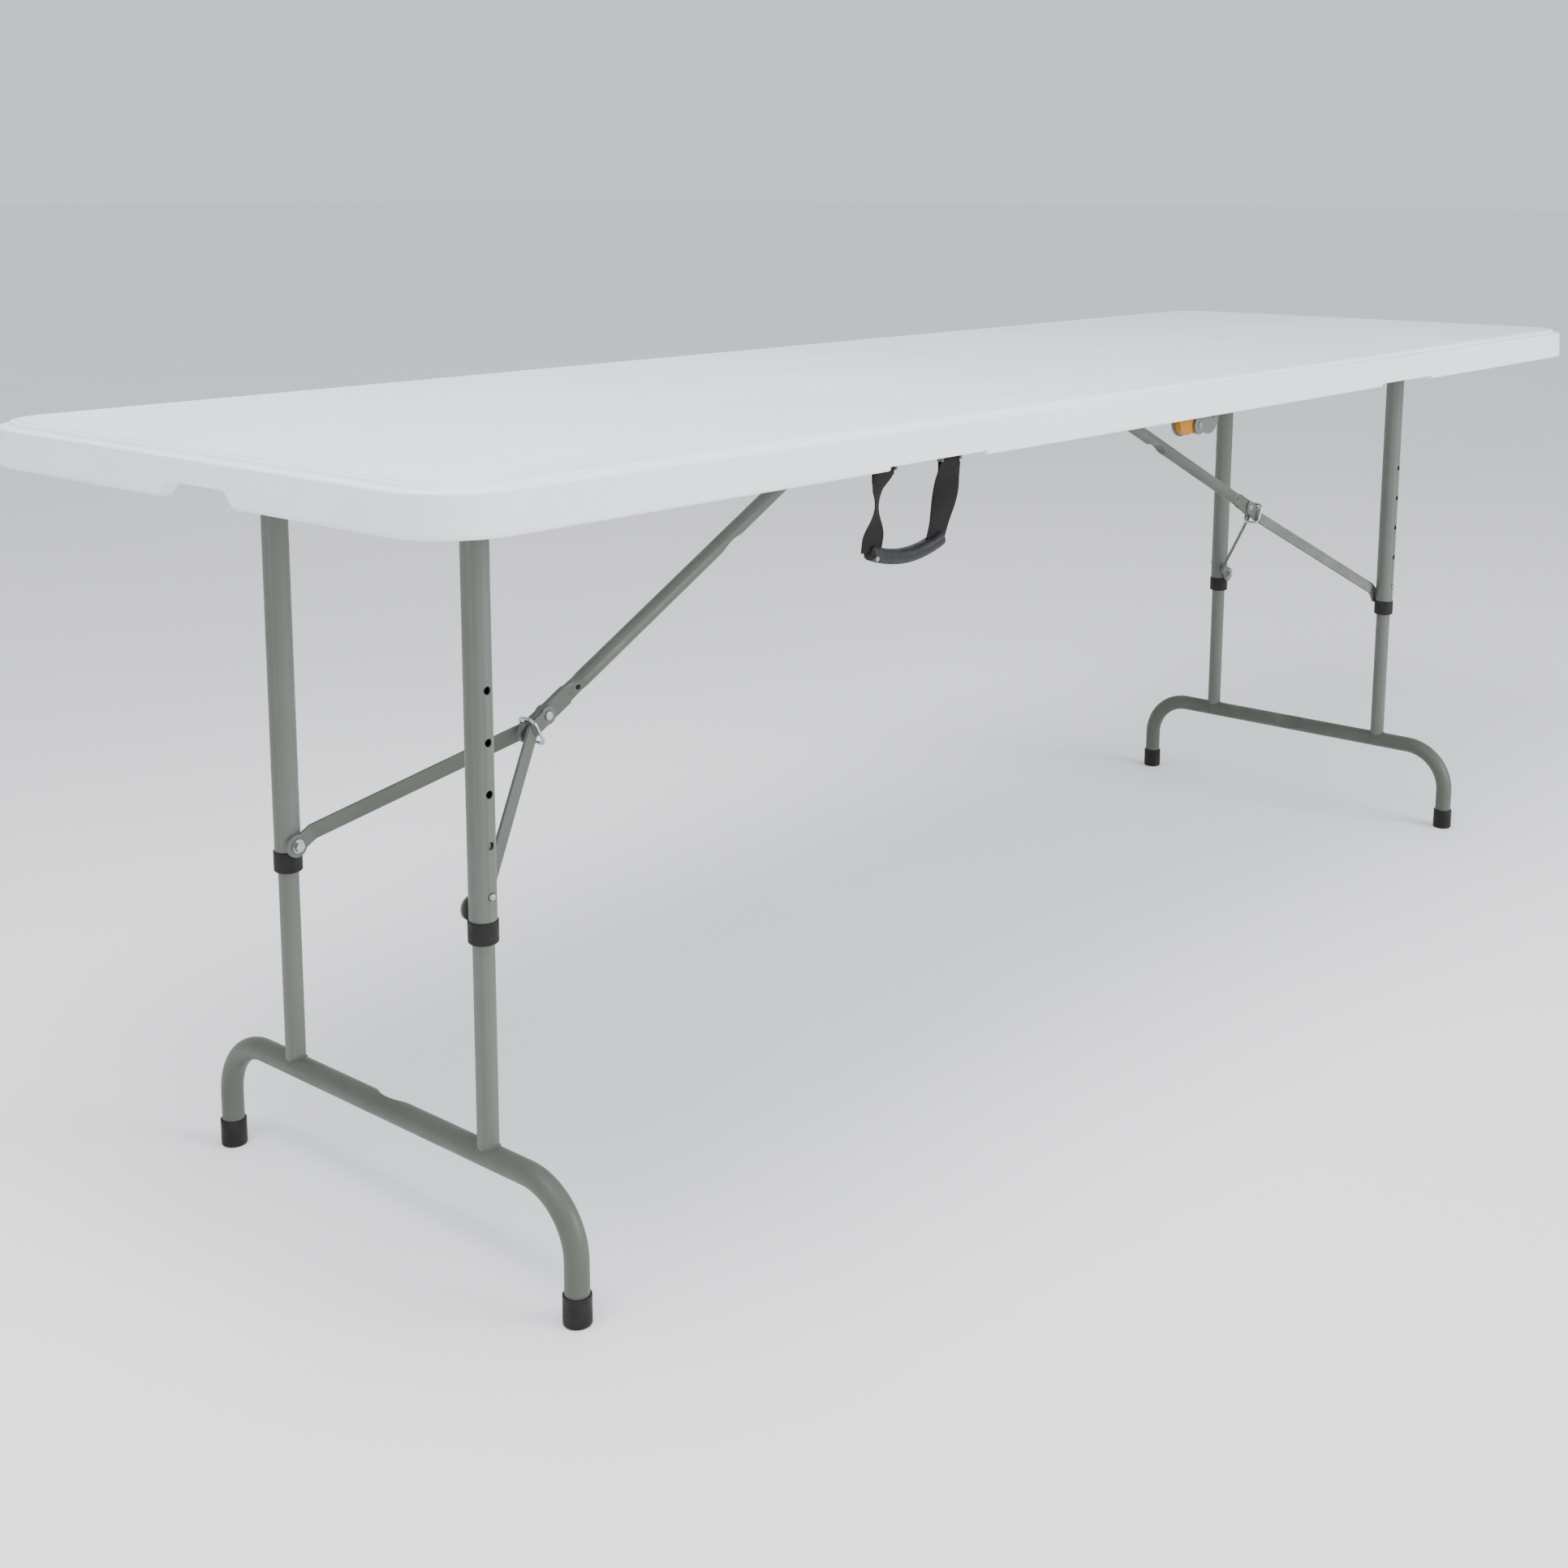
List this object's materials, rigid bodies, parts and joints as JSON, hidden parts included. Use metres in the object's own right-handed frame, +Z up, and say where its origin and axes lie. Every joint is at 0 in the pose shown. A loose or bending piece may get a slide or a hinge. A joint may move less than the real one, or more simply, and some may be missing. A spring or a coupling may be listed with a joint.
{
  "type": "folding table",
  "caption": "Long rectangular folding table with a white moulded top that folds in half, and steel leg sets with telescoping height adjustment.",
  "frame": {"origin": "on the floor under the middle of the top, with the legs at their highest setting", "axes": "+X along the table from the near half to the far half, +Y across it away from the carrying handle, +Z up"},
  "size_m": [2.438, 0.7416, 0.836],
  "materials": {
    "top_plastic": "fine pebbled, semi-matt blow-moulded polyethylene",
    "grey_paint": "satin grey-green powder coat",
    "zinc": "bright zinc plate",
    "black_plastic": "fine-grained black plastic",
    "ring_wire": "bright plated wire",
    "yellow_plastic": "moulded orange-yellow plastic",
    "webbing": "woven black webbing",
    "grip_plastic": "satin black moulded grip"
  },
  "bodies": {
    "near_half": {"near_top": "top_plastic", "near_front_rail": "grey_paint", "near_rear_rail": "grey_paint", "near_anchor_tube": "grey_paint", "near_leg_clamps": "grey_paint", "near_rail_screws": "zinc", "near_front_hinge_plate": "grey_paint", "near_rear_hinge_plate": "grey_paint", "hinge_pins": "zinc", "handle_brackets": "grey_paint"},
    "far_half": {"far_top": "top_plastic", "far_front_rail": "grey_paint", "far_rear_rail": "grey_paint", "far_anchor_tube": "grey_paint", "far_leg_clamps": "grey_paint", "far_rail_screws": "zinc", "far_front_hinge_plate": "grey_paint", "far_rear_hinge_plate": "grey_paint"},
    "near_leg": {"near_cross_tube": "grey_paint", "near_front_upper_leg": "grey_paint", "near_rear_upper_leg": "grey_paint", "near_collars": "black_plastic"},
    "near_foot_frame": {"near_front_lower_leg": "grey_paint", "near_rear_lower_leg": "grey_paint", "near_leg_guides": "black_plastic", "near_foot_tube": "grey_paint", "near_foot_caps": "black_plastic"},
    "near_brace": {"near_brace_tube": "grey_paint", "near_brace_sleeve": "grey_paint", "near_knee_rivet": "zinc"},
    "near_arms": {"near_front_arm": "grey_paint", "near_rear_arm": "grey_paint", "near_arm_bolts": "zinc"},
    "near_ring": {"near_lock_ring": "ring_wire"},
    "near_front_button": {"near_front_button": "zinc"},
    "near_rear_button": {"near_rear_button": "zinc"},
    "far_leg": {"far_cross_tube": "grey_paint", "far_front_upper_leg": "grey_paint", "far_rear_upper_leg": "grey_paint", "far_collars": "black_plastic"},
    "far_foot_frame": {"far_front_lower_leg": "grey_paint", "far_rear_lower_leg": "grey_paint", "far_leg_guides": "black_plastic", "far_foot_tube": "grey_paint", "far_foot_caps": "black_plastic"},
    "far_brace": {"far_brace_tube": "grey_paint", "far_brace_sleeve": "grey_paint", "far_knee_rivet": "zinc"},
    "far_arms": {"far_front_arm": "grey_paint", "far_rear_arm": "grey_paint", "far_arm_bolts": "zinc"},
    "far_ring": {"far_lock_ring": "ring_wire"},
    "far_front_button": {"far_front_button": "zinc"},
    "far_rear_button": {"far_rear_button": "zinc"},
    "front_latch": {"front_latch": "yellow_plastic"},
    "rear_latch": {"rear_latch": "yellow_plastic"},
    "handle": {"handle_grip": "grip_plastic", "handle_left_strap": "webbing", "handle_right_strap": "webbing"}
  },
  "joints": [
    {"name": "top_fold", "type": "hinge", "parent": "near_half", "child": "far_half", "pos_m": [0, 0, 0.78], "axis": [0, 1, 0], "range_deg": [0, 90]},
    {"name": "near_leg_fold", "type": "hinge", "parent": "near_half", "child": "near_leg", "pos_m": [-1.005, 0, 0.795], "axis": [0, -1, 0], "range_deg": [0, 86]},
    {"name": "near_height", "type": "slide", "parent": "near_leg", "child": "near_foot_frame", "axis": [0, 0, 1], "range_m": [0, 0.2032], "deforming": ["near_front_button", "near_rear_button"]},
    {"name": "near_brace_fold", "type": "hinge", "parent": "near_half", "child": "near_brace", "pos_m": [-0.229, 0, 0.797], "axis": [0, 1, 0], "range_deg": [0, 27.69]},
    {"name": "near_knee", "type": "hinge", "parent": "near_brace", "child": "near_arms", "pos_m": [-0.77701, 0, 0.50393], "axis": [0, -1, 0], "range_deg": [0, 174.57]},
    {"name": "near_ring_slide", "type": "slide", "parent": "near_brace", "child": "near_ring", "axis": [0.8818, 0, 0.4716], "range_m": [0, 0.156]},
    {"name": "near_front_button_press", "type": "slide", "parent": "near_foot_frame", "child": "near_front_button", "axis": [0, 1, 0], "range_m": [0, 0.0045], "stiffness_N_per_m": 900},
    {"name": "near_rear_button_press", "type": "slide", "parent": "near_foot_frame", "child": "near_rear_button", "axis": [0, -1, 0], "range_m": [0, 0.0045], "stiffness_N_per_m": 900},
    {"name": "far_leg_fold", "type": "hinge", "parent": "far_half", "child": "far_leg", "pos_m": [1.005, 0, 0.795], "axis": [0, 1, 0], "range_deg": [0, 86]},
    {"name": "far_height", "type": "slide", "parent": "far_leg", "child": "far_foot_frame", "axis": [0, 0, 1], "range_m": [0, 0.2032], "deforming": ["far_front_button", "far_rear_button"]},
    {"name": "far_brace_fold", "type": "hinge", "parent": "far_half", "child": "far_brace", "pos_m": [0.2355, 0, 0.797], "axis": [0, -1, 0], "range_deg": [0, 23.69]},
    {"name": "far_knee", "type": "hinge", "parent": "far_brace", "child": "far_arms", "pos_m": [0.80265, 0, 0.54293], "axis": [0, 1, 0], "range_deg": [0, 160.34]},
    {"name": "far_ring_slide", "type": "slide", "parent": "far_brace", "child": "far_ring", "axis": [-0.9126, 0, 0.4088], "range_m": [0, 0.156]},
    {"name": "far_front_button_press", "type": "slide", "parent": "far_foot_frame", "child": "far_front_button", "axis": [0, 1, 0], "range_m": [0, 0.0045], "stiffness_N_per_m": 900},
    {"name": "far_rear_button_press", "type": "slide", "parent": "far_foot_frame", "child": "far_rear_button", "axis": [0, -1, 0], "range_m": [0, 0.0045], "stiffness_N_per_m": 900},
    {"name": "front_latch_press", "type": "hinge", "parent": "near_half", "child": "front_latch", "pos_m": [-0.024, 0, 0.788], "axis": [0, 1, 0], "range_deg": [0, 8], "stiffness_Nm_per_rad": 1.5},
    {"name": "rear_latch_press", "type": "hinge", "parent": "near_half", "child": "rear_latch", "pos_m": [-0.024, 0, 0.788], "axis": [0, 1, 0], "range_deg": [0, 8], "stiffness_Nm_per_rad": 1.5},
    {"name": "handle_swing", "type": "hinge", "parent": "near_half", "child": "handle", "pos_m": [-0.5775, -0.3495, 0.791], "axis": [1, 0, 0], "range_deg": [-85, 45]}
  ],
  "couplings": [
    {"joint": "near_brace_fold", "follows": "near_leg_fold", "ratio": 0.31968},
    {"joint": "near_knee", "follows": "near_leg_fold", "ratio": 2.0241},
    {"joint": "near_ring_slide", "follows": "near_leg_fold", "m_per_rad": 0.10327},
    {"joint": "far_brace_fold", "follows": "far_leg_fold", "ratio": 0.27309},
    {"joint": "far_knee", "follows": "far_leg_fold", "ratio": 1.8586},
    {"joint": "far_ring_slide", "follows": "far_leg_fold", "m_per_rad": 0.10327}
  ]
}
